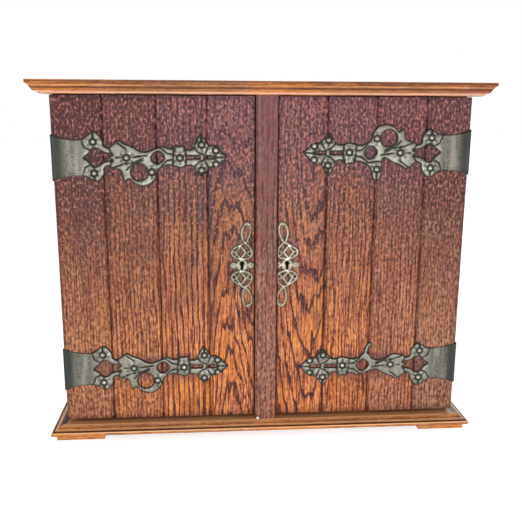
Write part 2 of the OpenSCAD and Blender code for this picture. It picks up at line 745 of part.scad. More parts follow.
module left_escutcheon() { escutcheon(-1); }
module right_escutcheon() { escutcheon(1); }
module left_escutcheon_pins() { escutcheon_pins(-1); }
module right_escutcheon_pins() { escutcheon_pins(1); }

// ---------- assembly ----------

top_board();
cornice_front();
cornice_left();
cornice_right();
side_left();
side_right();
base_board();
back_panel();
centre_post();
plinth_front();
plinth_left();
plinth_right();
foot_front_left();
foot_front_right();
foot_rear_left();
foot_rear_right();
hook_rail_top();
hook_rail_middle();
hook_rail_bottom();
key_hooks_top();
key_hooks_middle();
key_hooks_bottom();
rail_screws();
ball_pin();
leaf_left_top();
leaf_left_bottom();
leaf_right_top();
leaf_right_bottom();
hinge_pins();
leaf_screws();
left_board_1();
left_board_2();
left_board_3();
left_board_4();
left_batten_top();
left_batten_bottom();
left_strap_top();
left_strap_bottom();
left_studs();
left_escutcheon();
left_escutcheon_pins();
left_lock_case();
left_lock_bolt();
left_door_screws();
right_board_1();
right_board_2();
right_board_3();
right_board_4();
right_batten_top();
right_batten_bottom();
right_strap_top();
right_strap_bottom();
right_studs();
right_escutcheon();
right_escutcheon_pins();
right_lock_case();
right_lock_bolt();
right_door_screws();
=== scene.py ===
import json
import math

import bmesh
import bpy
import numpy as np
from mathutils import Matrix, Vector
from mathutils.kdtree import KDTree


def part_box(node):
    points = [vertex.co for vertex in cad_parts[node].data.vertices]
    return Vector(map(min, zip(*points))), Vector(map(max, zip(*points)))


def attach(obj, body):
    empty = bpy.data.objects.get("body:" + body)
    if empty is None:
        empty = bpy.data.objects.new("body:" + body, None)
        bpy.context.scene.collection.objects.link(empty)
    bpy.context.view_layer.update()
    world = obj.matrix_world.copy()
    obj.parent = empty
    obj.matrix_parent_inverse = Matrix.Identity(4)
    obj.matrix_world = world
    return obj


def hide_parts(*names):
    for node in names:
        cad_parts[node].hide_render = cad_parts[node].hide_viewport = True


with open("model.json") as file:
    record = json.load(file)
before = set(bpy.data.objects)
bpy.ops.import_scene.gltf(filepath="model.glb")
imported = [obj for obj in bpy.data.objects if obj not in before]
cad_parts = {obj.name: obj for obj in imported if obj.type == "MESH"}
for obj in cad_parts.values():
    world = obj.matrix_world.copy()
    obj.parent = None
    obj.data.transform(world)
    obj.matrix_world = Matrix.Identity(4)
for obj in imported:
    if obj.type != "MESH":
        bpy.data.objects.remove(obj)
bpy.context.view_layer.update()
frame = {"nodes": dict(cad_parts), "record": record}
nodes = frame["nodes"]
scene = bpy.context.scene
mm = 0.001
print("frame loaded:", len(nodes), "nodes")

# places taken from the frame

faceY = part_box("left_board_1")[0].y  # front of the closed doors
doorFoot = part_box("left_board_1")[0].z
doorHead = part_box("left_board_1")[1].z
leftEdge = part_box("left_board_1")[0].x
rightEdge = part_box("right_board_1")[1].x
doorsWide = rightEdge - leftEdge
doorTall = (doorHead - doorFoot) / mm


def middle(node):
    low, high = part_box(node)
    return (low + high) / 2


def keyholePlace(side):
    mount = next(m for m in frame["record"]["mounts"] if m["name"] == "keyhole_" + side)
    return mount["pos_m"][0], mount["pos_m"][2]


class Wire:
    # an output socket that can be added, multiplied and so on
    def __init__(self, paint, socket):
        self.paint = paint
        self.socket = socket

    def sum(self, operation, *values):
        sockets = dict(enumerate(values))
        return self.paint.add("Math", {"operation": operation}, sockets)

    def __add__(self, other):
        return self.sum("ADD", self, other)

    def __radd__(self, other):
        return self.sum("ADD", other, self)

    def __sub__(self, other):
        return self.sum("SUBTRACT", self, other)

    def __rsub__(self, other):
        return self.sum("SUBTRACT", other, self)

    def __mul__(self, other):
        return self.sum("MULTIPLY", self, other)

    def __rmul__(self, other):
        return self.sum("MULTIPLY", other, self)

    def __truediv__(self, other):
        return self.sum("DIVIDE", self, other)

    def fract(self):
        return self.sum("FRACT", self)

    def size(self):
        return self.sum("ABSOLUTE", self)

    def least(self, other):
        return self.sum("MINIMUM", self, other)

    def most(self, other):
        return self.sum("MAXIMUM", self, other)

    def rise(self, low, high):
        # smooth step from 0 at low to 1 at high; low may be the larger one
        if low > high:
            return 1 - self.rise(high, low)
        return self.paint.add("MapRange", {"interpolation_type": "SMOOTHSTEP"}, {0: self, 1: low, 2: high})


class Paint:
    # a material and the one method that adds nodes to it
    def __init__(self, name):
        self.material = bpy.data.materials.new(name)
        self.material.use_nodes = True
        self.tree = self.material.node_tree
        self.tree.nodes.clear()

    def add(self, kind, settings=None, sockets=None, out=0):
        node = self.tree.nodes.new("ShaderNode" + kind)
        for key, value in (settings or {}).items():
            if key == "stops":
                self.setStops(node.color_ramp, value)
            else:
                setattr(node, key, value)
        for key, value in (sockets or {}).items():
            if isinstance(value, Wire):
                self.tree.links.new(value.socket, node.inputs[key])
            else:
                node.inputs[key].default_value = value
        return Wire(self, node.outputs[out]) if node.outputs else node

    def setStops(self, ramp, stops):
        while len(ramp.elements) < len(stops):
            ramp.elements.new(0.5)
        for element, (place, colour) in zip(ramp.elements, stops):
            element.position = place
            element.color = colour

    def place(self, centre=(0, 0, 0), turn=(0, 0, 0)):
        where = self.add("TexCoord", out="Object")
        return self.add("Mapping", {"vector_type": "TEXTURE"},
                        {"Vector": where, "Location": centre, "Rotation": turn})

    def split(self, vector):
        node = self.add("SeparateXYZ", sockets={0: vector}).socket.node
        return [Wire(self, socket) for socket in node.outputs]

    def noise(self, vector, stretch, detail=2.0, rough=0.5):
        at = self.add("VectorMath", {"operation": "MULTIPLY"}, {0: vector, 1: stretch})
        return self.add("TexNoise", {}, {"Vector": at, "Scale": 1.0, "Detail": detail, "Roughness": rough})

    def ramp(self, value, stops):
        return self.add("ValToRGB", {"stops": stops}, {0: value})

    def mix(self, a, b, share, blend="MIX"):
        settings = {"data_type": "RGBA", "blend_type": blend}
        return self.add("Mix", settings, {0: share, 6: a, 7: b}, out=2)

    def bump(self, height, depth, strength=1.0):
        return self.add("Bump", {}, {"Height": height, "Distance": depth, "Strength": strength})

    def finish(self, **sockets):
        surface = {key.replace("_", " "): value for key, value in sockets.items()}
        shader = self.add("BsdfPrincipled", {}, surface)
        self.add("OutputMaterial", {}, {"Surface": shader})
        return self.material


def tone(red, green, blue):
    # a colour from its everyday levels of 0 to 255
    levels = [value / 255 for value in (red, green, blue)]
    linear = [v / 12.92 if v <= 0.04045 else ((v + 0.055) / 1.055) ** 2.4 for v in levels]
    return (*linear, 1.0)


oakLook = {
    "light": tone(226, 144, 80),
    "mid": tone(178, 96, 56),
    "dark": tone(96, 42, 28),
    "pore": tone(58, 26, 26),
    "amber": tone(226, 132, 36),
    "russet": tone(156, 66, 44),
    "grime": (0.26, 0.22, 0.30, 1.0),  # wax and dirt along the joints and in patches, the darker foot, and the painted shadow under the cornice at the heads
    "topShadeTint": (0.28, 0.25, 0.36, 1.0),  # painted shade that darkens the heads of the boards
    "purpleShade": tone(118, 80, 96),        # painted shade, tinted purple, over the heads
    "purpleShadeShare": 0.3,
    "grit": tone(52, 28, 34),          # dark and pale specks in the old wax
    "dust": tone(196, 128, 116),
    "stainAndShadow": tone(62, 38, 48),
    "stainsAndShadows": (),                # across, up, half width, half height in mm and strength; stains, and dirt with painted shadow round the metal
    "ring": 5.0,                 # mm between growth rings
    "heart": (0, 20),            # mm from the middle of the face to the heart, across and behind
    "lean": 0.0,                 # slope of the heart line, plus for arches and minus for Vs
    "leanFrom": 0,               # height in mm at which the heart line is level with the face
    "contrast": 1.0,
    "speckle": 0.5,
    "flow": 0.0,                 # how strongly the rings wander
    "warmth": 0.35,
    "seed": 0.0,
    "length": doorTall,          # mm from the foot to the head
    "edges": None,               # mm to the two joints, on a board that has them
    "headShade": 0.0,
    "bands": (),                 # height, half width, colour and strength along a moulding
    "roughness": 0.42,
    "coat": 0.06,
    "coatRough": 0.25,
    "shine": 0.2,
    "relief": 0.16 * mm,         # depth of the open pores
}

# how finely each layer of the grain varies per mm: across, behind and along the grain
grainRun = {
    "wander": (0.035, 0.035, 0.009),
    "wobble": (0.25, 0.25, 0.03),
    "fibre": (0.6, 0.6, 0.035),
    "streak": (0.16, 0.16, 0.006),
    "pores": (0.75, 0.75, 0.055),
    "flecks": (0.36, 0.36, 0.2),
    "specks": (0.5, 0.5, 0.22),
    "cloud": (0.035, 0.035, 0.012),
    "patch": (0.02, 0.02, 0.008),
    "russet": (0.06, 0.06, 0.02),
    "ticks": (1.0, 1.0, 0.16),
    "grit": (0.42, 0.42, 0.26),
}


def growth(p, look, own, across, behind, up):
    # rings round a heart line that leans through the board: 1 in the porous early wood
    wander = p.noise(own, grainRun["wander"], 2.0) - 0.5
    wobble = p.noise(own, grainRun["wobble"], 2.0) - 0.5
    heartX, heartY = look["heart"]
    sideways = across - heartX + wander * (8 + 30 * look["flow"])
    depth = behind + heartY + (up - look["leanFrom"]) * look["lean"] + wander * 18 * look["flow"]
    radius = p.add("VectorMath", {"operation": "LENGTH"},
                   {0: p.add("CombineXYZ", {}, {0: sideways, 1: depth})}, out="Value")
    ring = (radius / look["ring"] + wobble * 1.1 + wander * 1.5).fract()
    return ring.rise(0.42, 0.05) + ring.rise(0.94, 1.0)


def aged(p, look, wood, own, across, up, cloud, fibre):
    # dirt along the joints and in patches, darker along the foot, painted shadow of the cornice across the
    # head, stains with dirt and painted shadow round the metal, and painted shade towards the head
    length = look["length"]
    grime = cloud.most(0.0)
    if look["edges"]:
        left, right = look["edges"]
        nearest = (across - left).least(right - across)
        joint = (nearest + cloud * 6).rise(5.0, 0.0)
        foot = (up + cloud * 12).rise(9.0, 0.0)
        # painted shadow cast by the cornice across the head of the board
        headShadow = (up + cloud * 4).rise(length - 6.0, length - 1.0)
        grime = grime + joint * 0.7 + foot * 0.6 + headShadow * 0.8
    wood = p.mix(wood, look["grime"], grime.least(1.0), "MULTIPLY")
    # stains, and dirt with painted shadow round the hinge straps and the escutcheons
    for stainX, stainZ, halfWidth, halfHeight, strength in look["stainsAndShadows"]:
        off = p.add("CombineXYZ", {}, {0: (across + cloud * 12 - stainX) / halfWidth,
                                       1: (up - stainZ) / halfHeight + (fibre - 0.5) * 1.6})
        stainAndShadow = p.add("VectorMath", {"operation": "LENGTH"}, {0: off}, out="Value").rise(1.2, 0.5)
        wood = p.mix(wood, look["stainAndShadow"], stainAndShadow * strength)
    # painted shade: the boards darken and turn purple towards their heads
    if look["headShade"]:
        topShadeTint = (up + cloud * 60).rise(length * 0.12, length * 0.86) * look["headShade"]
        wood = p.mix(wood, look["topShadeTint"], topShadeTint.least(1.0), "MULTIPLY")
        purpleShade = (up + cloud * 80).rise(length * 0.62, length) * look["purpleShadeShare"]
        wood = p.mix(wood, look["purpleShade"], purpleShade)
    if look["edges"]:
        grit = p.noise(own, grainRun["grit"], 2.0, 0.6)
        gritShare = 0.3 + up.rise(length * 0.3, length * 0.8) * 0.7
        wood = p.mix(wood, look["grit"], grit.rise(0.52, 0.36) * gritShare)
        wood = p.mix(wood, look["dust"], grit.rise(0.53, 0.68) * gritShare * 0.6)
    return wood


def oak(name, centre, along="z", **changes):
    look = {**oakLook, **changes}
    p = Paint(name)
    turn = {"x": (0, math.pi / 2, 0), "y": (-math.pi / 2, 0, 0), "z": (0, 0, 0)}[along]
    spot = p.place(centre, turn)
    spot = p.add("VectorMath", {"operation": "SCALE"}, {0: spot, "Scale": 1 / mm})  # from here on in mm
    across, behind, up = p.split(spot)
    shift = (look["seed"] * 37, 0, look["seed"] * 211)
    own = p.add("VectorMath", {"operation": "ADD"}, {0: spot, 1: shift})
    early = growth(p, look, own, across, behind, up)

    # long fibres, streaks, open pores and a granular speckle
    fibre = p.noise(own, grainRun["fibre"], 2.0, 0.6)
    streak = p.noise(own, grainRun["streak"], 2.0, 0.55)
    pores = p.noise(own, grainRun["pores"], 2.0, 0.65)
    poreMask = (pores + (early - 0.4) * 0.3 * look["contrast"]).rise(0.52, 0.63)
    flecks = p.noise(own, grainRun["flecks"], 2.0, 0.6)
    specks = p.noise(own, grainRun["specks"], 1.0, 0.5).rise(0.44, 0.3)
    ticks = p.noise(own, grainRun["ticks"], 1.0, 0.5).rise(0.6, 0.7)
    cloud = (p.noise(own, grainRun["cloud"], 3.0) - 0.45) * 1.2
    patch = p.noise(own, grainRun["patch"], 2.0)
    russet = p.noise(own, grainRun["russet"], 3.0, 0.6).rise(0.42, 0.62)
    russet = russet * (up + cloud * 60).rise(look["length"] * 0.2, look["length"] * 0.6)

    c = look["contrast"]
    level = 0.62 + (streak - 0.5) * 0.9 * c + (fibre - 0.5) * 2.8 * c - early * 0.4 * c
    level = level + (flecks - 0.5) * look["speckle"] * 2.6
    wood = p.ramp(level, [(0.1, look["dark"]), (0.5, look["mid"]), (0.95, look["light"])])
    wood = p.mix(wood, look["amber"], patch.rise(0.45, 0.7) * look["warmth"])
    wood = p.mix(wood, look["russet"], russet * 0.55)
    wood = p.mix(wood, look["pore"], poreMask * (0.45 + 0.35 * c))
    wood = p.mix(wood, look["pore"], ticks * 0.45)
    wood = p.mix(wood, look["pore"], specks * look["speckle"] * 0.6)
    wood = aged(p, look, wood, own, across, up, cloud, fibre)

    # pale arrises, painted highlights and wear, and dark quirks of painted shade that run along a moulding
    for height, width, colour, share in look["bands"]:
        rising = -1 * across if along == "x" else behind
        off = (rising - height + cloud * 0.4).size()
        wood = p.mix(wood, colour, off.rise(width, width * 0.35) * share * (0.75 + flecks * 0.5))

    normal = p.bump((fibre - 0.5) * 0.25 - poreMask + streak * 0.3, look["relief"], 0.8)
    rough = look["roughness"] + poreMask * 0.2 + (patch - 0.5) * 0.12
    return p.finish(Base_Color=wood, Roughness=rough, Normal=normal, Coat_Weight=look["coat"],
                    Coat_Roughness=look["coatRough"], Specular_IOR_Level=look["shine"])


def dress(node, material):
    thing = nodes[node]
    for slot in thing.material_slots:
        slot.material = material


def soften(node, width, segments=2):
    # worn arrises on a piece whose shape is right
    thing = nodes[node]
    weld = thing.modifiers.new("weld", "WELD")
    weld.merge_threshold = 0.01 * mm
    bevel = thing.modifiers.new("wear", "BEVEL")
    bevel.width = width
    bevel.segments = segments
    bevel.limit_method = "ANGLE"
    bevel.angle_limit = math.radians(28)
    bevel.use_clamp_overlap = True


# what each door board shows, from the hinges to the post
outerLook = dict(ring=2.8, contrast=0.5, speckle=1.0, warmth=0.15, light=tone(200, 138, 92),
                 mid=tone(158, 98, 68), dark=tone(84, 44, 34), topShadeTint=(0.27, 0.21, 0.27, 1.0), purpleShadeShare=0.12)
boardLooks = {
    "left_board_1": dict(outerLook, heart=(90, 30), headShade=1.0),
    "left_board_2": dict(heart=(-70, 45), ring=3.4, contrast=0.7, speckle=0.9, headShade=0.95, warmth=0.3,
                         light=tone(216, 142, 86), mid=tone(172, 100, 60), topShadeTint=(0.29, 0.23, 0.30, 1.0),
                         purpleShadeShare=0.2),
    "left_board_3": dict(heart=(60, 14), ring=5.5, contrast=1.2, speckle=0.5, headShade=0.9, flow=0.3,
                         purpleShadeShare=0.35, warmth=0.5, stainsAndShadows=[(20, 235, 7, 40, 0.45)]),
    "left_board_4": dict(heart=(0, 4), ring=4.2, lean=0.11, leanFrom=-40, contrast=1.2, speckle=0.5,
                         headShade=0.85, flow=0.5, warmth=0.6, purpleShadeShare=0.5,
                         stainsAndShadows=[(-21, 238, 5, 50, 0.8), (-8, 272, 4, 30, 0.8), (-20, 150, 5, 60, 0.4)]),
    "right_board_4": dict(heart=(8, -2), ring=4.6, lean=-0.12, leanFrom=360, contrast=1.2, speckle=0.5,
                          headShade=0.7, flow=0.5, warmth=0.6, purpleShadeShare=0.5, stainsAndShadows=[(16, 108, 5, 16, 0.5)]),
    "right_board_3": dict(heart=(-75, 30), ring=4.0, contrast=0.9, speckle=0.7, headShade=0.85, flow=0.3,
                          purpleShadeShare=0.45),
    "right_board_2": dict(heart=(70, 40), ring=3.2, contrast=0.7, speckle=0.9, headShade=0.9, warmth=0.25,
                          light=tone(206, 136, 96), mid=tone(162, 98, 72), topShadeTint=(0.34, 0.27, 0.38, 1.0),
                          purpleShadeShare=0.35),
    "right_board_1": dict(outerLook, heart=(-90, 30), headShade=0.95, topShadeTint=(0.34, 0.29, 0.36, 1.0),
                          light=tone(190, 134, 102), mid=tone(148, 98, 78), purpleShadeShare=0.25),
}

for number, (node, look) in enumerate(boardLooks.items()):
    low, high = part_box(node)
    centre = ((low.x + high.x) / 2, faceY, doorFoot)
    half = (high.x - low.x) / 2 / mm
    side = node.split("_")[0]
    hinges = [(middle("leaf_" + side + "_" + end).z - doorFoot) / mm for end in ("top", "bottom")]
    # dirt and painted shadow on the wood round the hinge straps and the escutcheon
    if node.endswith("4"):
        dirt = [(half * (1 if side == "right" else -1), z, 18, 9, 0.6) for z in hinges]
        keyX, keyZ = keyholePlace(side)
        dirt.append(((keyX - centre[0]) / mm, (keyZ - doorFoot) / mm, 13, 30, 0.55))
    else:
        dirt = [(0, z, 60, 17, 0.6) for z in hinges]
    look = dict(look, stainsAndShadows=list(look.get("stainsAndShadows", ())) + dirt)
    dress(node, oak(node + " oak", centre, edges=(-half, half), seed=number + 1, **look))
    soften(node, 0.35 * mm)

postLook = dict(heart=(40, 60), ring=3.0, contrast=0.5, speckle=0.9, headShade=0.7, warmth=0.1,
                light=tone(172, 118, 98), mid=tone(134, 88, 74), dark=tone(80, 48, 44),
                topShadeTint=(0.42, 0.38, 0.46, 1.0))
dress("centre_post", oak("post oak", (middle("centre_post").x, faceY, doorFoot), seed=11, **postLook))
soften("centre_post", 0.3 * mm)

runLook = dict(contrast=0.45, speckle=0.35, warmth=0.5, light=tone(206, 140, 86), mid=tone(170, 104, 58),
               dark=tone(112, 60, 32), roughness=0.34, coat=0.15)
# pale arrises: painted highlights and wear; dark quirks: painted shade in the grooves
wearAndSheen = tone(248, 190, 134)
quirkShade = tone(64, 28, 20)
# height above the middle of the moulding in mm, half width in mm, colour, strength
# the lowest cornice band is a painted highlight along its lower arris
corniceBands = [(5.2, 1.2, quirkShade, 0.6), (1.6, 1.2, wearAndSheen, 0.2), (-0.6, 1.5, quirkShade, 0.75),
                (-4.8, 1.5, tone(250, 200, 172), 0.6)]
plinthBands = [(4.2, 0.6, wearAndSheen, 0.6), (2.6, 1.2, quirkShade, 0.2), (0.9, 0.8, wearAndSheen, 0.55),
               (-0.2, 0.9, quirkShade, 0.75), (-1.1, 0.7, wearAndSheen, 0.95), (-4.2, 0.7, quirkShade, 0.8)]
runs = {"cornice": dict(runLook, bands=corniceBands, light=tone(184, 122, 74), mid=tone(150, 90, 50)),
        "plinth": dict(runLook, bands=plinthBands)}
for run, look in runs.items():
    node = run + "_front"
    dress(node, oak(node + " oak", middle(node), along="x", heart=(30, 40), ring=3.4, seed=21, **look))
    soften(node, 0.3 * mm)
    for node in (run + "_left", run + "_right"):
        dress(node, oak(node + " oak", middle(node), along="y", heart=(35, 50), ring=3.4, seed=23, **look))
        soften(node, 0.3 * mm)

caseLook = dict(contrast=0.7, speckle=0.7)
for node in ("side_left", "side_right"):
    dress(node, oak(node + " oak", middle(node), along="z", heart=(60, 80), ring=4.0, seed=31, **caseLook))
for node in ("top_board", "base_board"):
    dress(node, oak(node + " oak", middle(node), along="x", heart=(10, 120), ring=6.0, seed=33, **caseLook))
dress("back_panel", oak("back oak", middle("back_panel"), heart=(120, 60), ring=6.0, seed=35, contrast=0.45,
                        light=tone(150, 108, 80), mid=tone(122, 84, 62), dark=tone(84, 54, 42)))
for end in ("front_left", "front_right", "rear_left", "rear_right"):
    dress("foot_" + end, oak("foot " + end + " oak", middle("foot_" + end), along="x", heart=(8, 30),
                             ring=3.4, seed=41, **runLook))
    soften("foot_" + end, 0.5 * mm)
for row in ("top", "middle", "bottom"):
    dress("hook_rail_" + row, oak("rail " + row + " oak", middle("hook_rail_" + row), along="x",
                                  heart=(10, 40), ring=3.6, seed=51, **runLook))
    soften("hook_rail_" + row, 0.4 * mm)
for side in ("left", "right"):
    for end in ("top", "bottom"):
        node = side + "_batten_" + end
        dress(node, oak(node + " oak", middle(node), along="x", heart=(15, 45), ring=4.0, seed=61))
        soften(node, 0.4 * mm)
for node in ("side_left", "side_right", "top_board", "base_board", "back_panel"):
    soften(node, 0.5 * mm)
print("oak done")


agedLook = {
    "grime": tone(64, 62, 52),
    "blot": tone(50, 45, 40),
    "hollow": tone(38, 34, 30),
    "edge": tone(36, 42, 36),
    "edgeFrom": 195,  # mm from the middle of the cabinet at which the hinge plates start to darken
    "edgeTo": 205,
    "relief": 0.12 * mm,
}


def metal(name, base, patina, bright, metallic=0.75, roughness=0.42, seed=0.0, mottle=0.5, dirt=0.6,
          embossed=False, outerDark=0.0):
    # mottled patina and pale specks; embossed metal is dark where its attribute rise is low, worn where high
    p = Paint(name)
    spot = p.place()
    spot = p.add("VectorMath", {"operation": "SCALE"}, {0: spot, "Scale": 1 / mm})
    own = p.add("VectorMath", {"operation": "ADD"}, {0: spot, 1: (seed * 31, seed * 17, 0)})
    cloud = p.noise(own, (0.13, 0.13, 0.13), 3.0, 0.6)
    grain = p.noise(own, (0.7, 0.7, 0.7), 3.0, 0.65)
    speck = p.noise(own, (1.1, 1.1, 1.1), 2.0, 0.6).rise(0.6, 0.72)
    colour = p.mix(base, patina, cloud.rise(0.4, 0.62) * mottle)
    colour = p.mix(colour, bright, speck * 0.45)
    colour = p.mix(colour, agedLook["grime"], grain.rise(0.56, 0.38) * 0.45 * dirt)
    blot = p.noise(own, (0.3, 0.3, 0.3), 2.0, 0.6).rise(0.52, 0.38)
    colour = p.mix(colour, agedLook["blot"], blot * 0.5 * dirt)
    brushed = p.noise(own, (0.14, 0.14, 0.02), 2.0, 0.5).rise(0.44, 0.62)
    colour = p.mix(colour, bright, brushed * 0.35)
    rough = roughness + (cloud - 0.5) * 0.25 - speck * 0.1
    if embossed:
        rise = p.add("Attribute", {"attribute_name": "rise"}, out="Fac")
        wearAndSheen = (rise + (grain - 0.5) * 0.6).rise(0.7, 1.05)
        hollow = (rise + (grain - 0.5) * 0.6).rise(0.8, 0.25)
        colour = p.mix(colour, bright, wearAndSheen * 0.4)
        colour = p.mix(colour, agedLook["hollow"], hollow * 0.85)
        rough = rough - wearAndSheen * 0.12 + hollow * 0.25
    # darker towards the outer edges of the doors
    if outerDark:
        away = p.split(spot)[0].size()
        dark = away.rise(agedLook["edgeFrom"], agedLook["edgeTo"])
        colour = p.mix(colour, agedLook["edge"], dark * outerDark)
    normal = p.bump(grain, agedLook["relief"], 0.6)
    return p.finish(Base_Color=colour, Metallic=metallic, Roughness=rough, Normal=normal)


pewter = metal("pewter", tone(104, 106, 96), tone(96, 86, 78), tone(160, 156, 140), seed=1, outerDark=0.8)
embossedPewter = metal("embossed pewter", tone(88, 92, 84), tone(92, 78, 74), tone(162, 160, 146), seed=1,
                       metallic=0.6, roughness=0.48, mottle=0.7, dirt=0.7, embossed=True, outerDark=0.9)
darkIron = metal("dark iron", tone(84, 80, 74), tone(92, 70, 56), tone(140, 132, 120), seed=2)
agedBrass = metal("aged brass", tone(186, 152, 92), tone(140, 104, 60), tone(228, 206, 150), seed=3)
paleBrass = metal("pale brass", tone(164, 154, 138), tone(138, 126, 102), tone(204, 196, 178), seed=4,
                  dirt=0.3, embossed=True)
dullBrass = metal("dull brass", tone(146, 144, 124), tone(116, 118, 98), tone(196, 190, 168), seed=5,
                  embossed=True)
studMetal = metal("stud metal", tone(164, 166, 156), tone(134, 128, 116), tone(226, 222, 208), seed=6,
                  roughness=0.3, dirt=0.6)

for node in nodes:
    if "_strap_" in node or node.startswith("leaf_left") or node.startswith("leaf_right"):
        dress(node, pewter)
for node in ("hinge_pins", "leaf_screws", "left_lock_case", "right_lock_case"):
    dress(node, darkIron)
for node in ("key_hooks_top", "key_hooks_middle", "key_hooks_bottom", "rail_screws", "left_door_screws",
             "right_door_screws", "left_lock_bolt", "right_lock_bolt"):
    dress(node, agedBrass)
for node in ("left_studs", "right_studs", "left_escutcheon_pins", "right_escutcheon_pins"):
    dress(node, studMetal)
dress("ball_pin", metal("bright ball", tone(226, 224, 214), tone(196, 188, 172), tone(255, 252, 244),
                        seed=7, roughness=0.25, mottle=0.2, dirt=0.1))
print("metals done")


def addObject(name, data):
    thing = bpy.data.objects.new(name, data)
    scene.collection.objects.link(thing)
    return thing


def mergedMesh(node):
    bm = bmesh.new()
    bm.from_mesh(nodes[node].data)
    bmesh.ops.remove_doubles(bm, verts=bm.verts, dist=0.001 * mm)
    return bm


def islandCentres(node):
    # the middle of every loose piece of a node, seen from the front
    bm = mergedMesh(node)
    centres = []
    left = set(bm.verts)
    while left:
        island = {left.pop()}
        edge = list(island)
        while edge:
            vert = edge.pop()
            for link in vert.link_edges:
                other = link.other_vert(vert)
                if other in left:
                    left.discard(other)
                    island.add(other)
                    edge.append(other)
        xs = [v.co.x for v in island]
        zs = [v.co.z for v in island]
        centres.append(((min(xs) + max(xs)) / 2, (min(zs) + max(zs)) / 2))
    bm.free()
    return np.array(sorted(centres))


def rimTree(bm, spacing, skip, skipRadius):
    # points along the rim of the front face, but not round the holes under the nail heads
    frontY = min(v.co.y for v in bm.verts)
    points = []
    for edge in bm.edges:
        a, b = (v.co for v in edge.verts)
        if len(edge.link_faces) != 2 or a.y > frontY + 0.01 * mm or b.y > frontY + 0.01 * mm:
            continue
        facing = [face.normal.y < -0.9 for face in edge.link_faces]
        if facing[0] == facing[1]:
            continue
        middleX, middleZ = (a.x + b.x) / 2, (a.z + b.z) / 2
        if len(skip) and np.hypot(skip[:, 0] - middleX, skip[:, 1] - middleZ).min() < skipRadius:
            continue
        count = max(1, math.ceil((b - a).length / spacing))
        points += [a.lerp(b, i / count) for i in range(count)]
    tree = KDTree(len(points))
    for i, point in enumerate(points):
        tree.insert((point.x, 0, point.z), i)
    tree.balance()
    return tree


def remeshed(bm, name, voxel):
    mesh = bpy.data.meshes.new(name)
    bm.to_mesh(mesh)
    bm.free()
    rough = addObject(name + " rough", mesh)
    remesh = rough.modifiers.new("remesh", "REMESH")
    remesh.mode = "VOXEL"
    remesh.voxel_size = voxel
    graph = bpy.context.evaluated_depsgraph_get()
    fine = bpy.data.meshes.new_from_object(rough.evaluated_get(graph))
    bpy.data.objects.remove(rough)
    fine.name = name
    fine.shade_smooth()
    return addObject(name, fine)


def step(values, low, high):
    share = np.clip((values - low) / (high - low), 0, 1)
    return share * share * (3 - 2 * share)


def bell(values, width):
    return np.exp(-(values / width) ** 2)


def lineDistance(x, z, line):
    # distance of every point from a line of points
    nearest = np.full(len(x), 1e9)
    for (ax, az), (bx, bz) in zip(line, line[1:]):
        dx, dz = bx - ax, bz - az
        share = np.clip(((x - ax) * dx + (z - az) * dz) / (dx * dx + dz * dz), 0, 1)
        nearest = np.minimum(nearest, np.hypot(x - ax - share * dx, z - az - share * dz))
    return nearest


def vertexValues(mesh, name):
    values = np.empty(len(mesh.vertices) * 3, np.float32)
    mesh.vertices.foreach_get(name, values)
    return values.reshape(-1, 3)


def emboss(thing, height, thick, level):
    # gives the plate the height that is asked for, its back staying on the door; level tells the paint
    mesh = thing.data
    co = vertexValues(mesh, "co")
    plate = co[:, 1] < faceY
    co[plate, 1] = faceY + (co[plate, 1] - faceY) / thick * height[plate]
    mesh.vertices.foreach_set("co", co.ravel())
    rise = mesh.attributes.new("rise", "FLOAT", "POINT")
    rise.data.foreach_set("value", np.where(plate, level, 0.3).astype(np.float32))
    mesh.update()


def frontView(thing, tree):
    # across and up of every vertex, and its distance from the rim
    co = vertexValues(thing.data, "co").astype(float)
    rim = np.array([tree.find((x, 0, z))[2] for x, z in co[:, ::2]])
    return co[:, 0], co[:, 2], rim


def swollen(rim, fullAt):
    # rounded from 0 at the rim to 1 at its fullest
    return np.sqrt(1 - (1 - np.clip(rim / fullAt, 0, 1)) ** 2)


def stand(thing, node, side, material):
    # the piece stands in for the plain one of the frame
    thing.data.materials.clear()
    thing.data.materials.append(material)
    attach(thing, side + "_door")
    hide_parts(node)


strapLook = {
    "voxel": 0.45 * mm,
    "rimStep": 0.3 * mm,
    "hole": 1.5 * mm,      # more than the radius of the holes for the studs
    "rim": 0.55 * mm,      # thickness of the rims
    "swell": 1.25 * mm,    # how far a leaf swells above its rim
    "round": 3.6 * mm,     # how far from the rim it is at its fullest
    "plate": 27 * mm,      # the plain plate beside the door's edge
    "stud": 2.3 * mm,
    "seat": 1.5 * mm,      # height under a stud
    "crease": 0.65 * mm,   # depth of the veins
    "veinWide": 0.8 * mm,
    "petals": 6,           # round every stud, with a ridge and a groove inside them
    "petal": 0.3 * mm,
    "petalAt": 5.8 * mm,
    "petalWide": 1.8 * mm,
    "ridge": 0.25 * mm,
    "ridgeAt": 4.6 * mm,
    "ridgeWide": 0.9 * mm,
    "groove": 0.8 * mm,
    "grooveAt": 3.1 * mm,
    "grooveWide": 0.7 * mm,
    "least": 0.45 * mm,
    "most": 2.1 * mm,
}

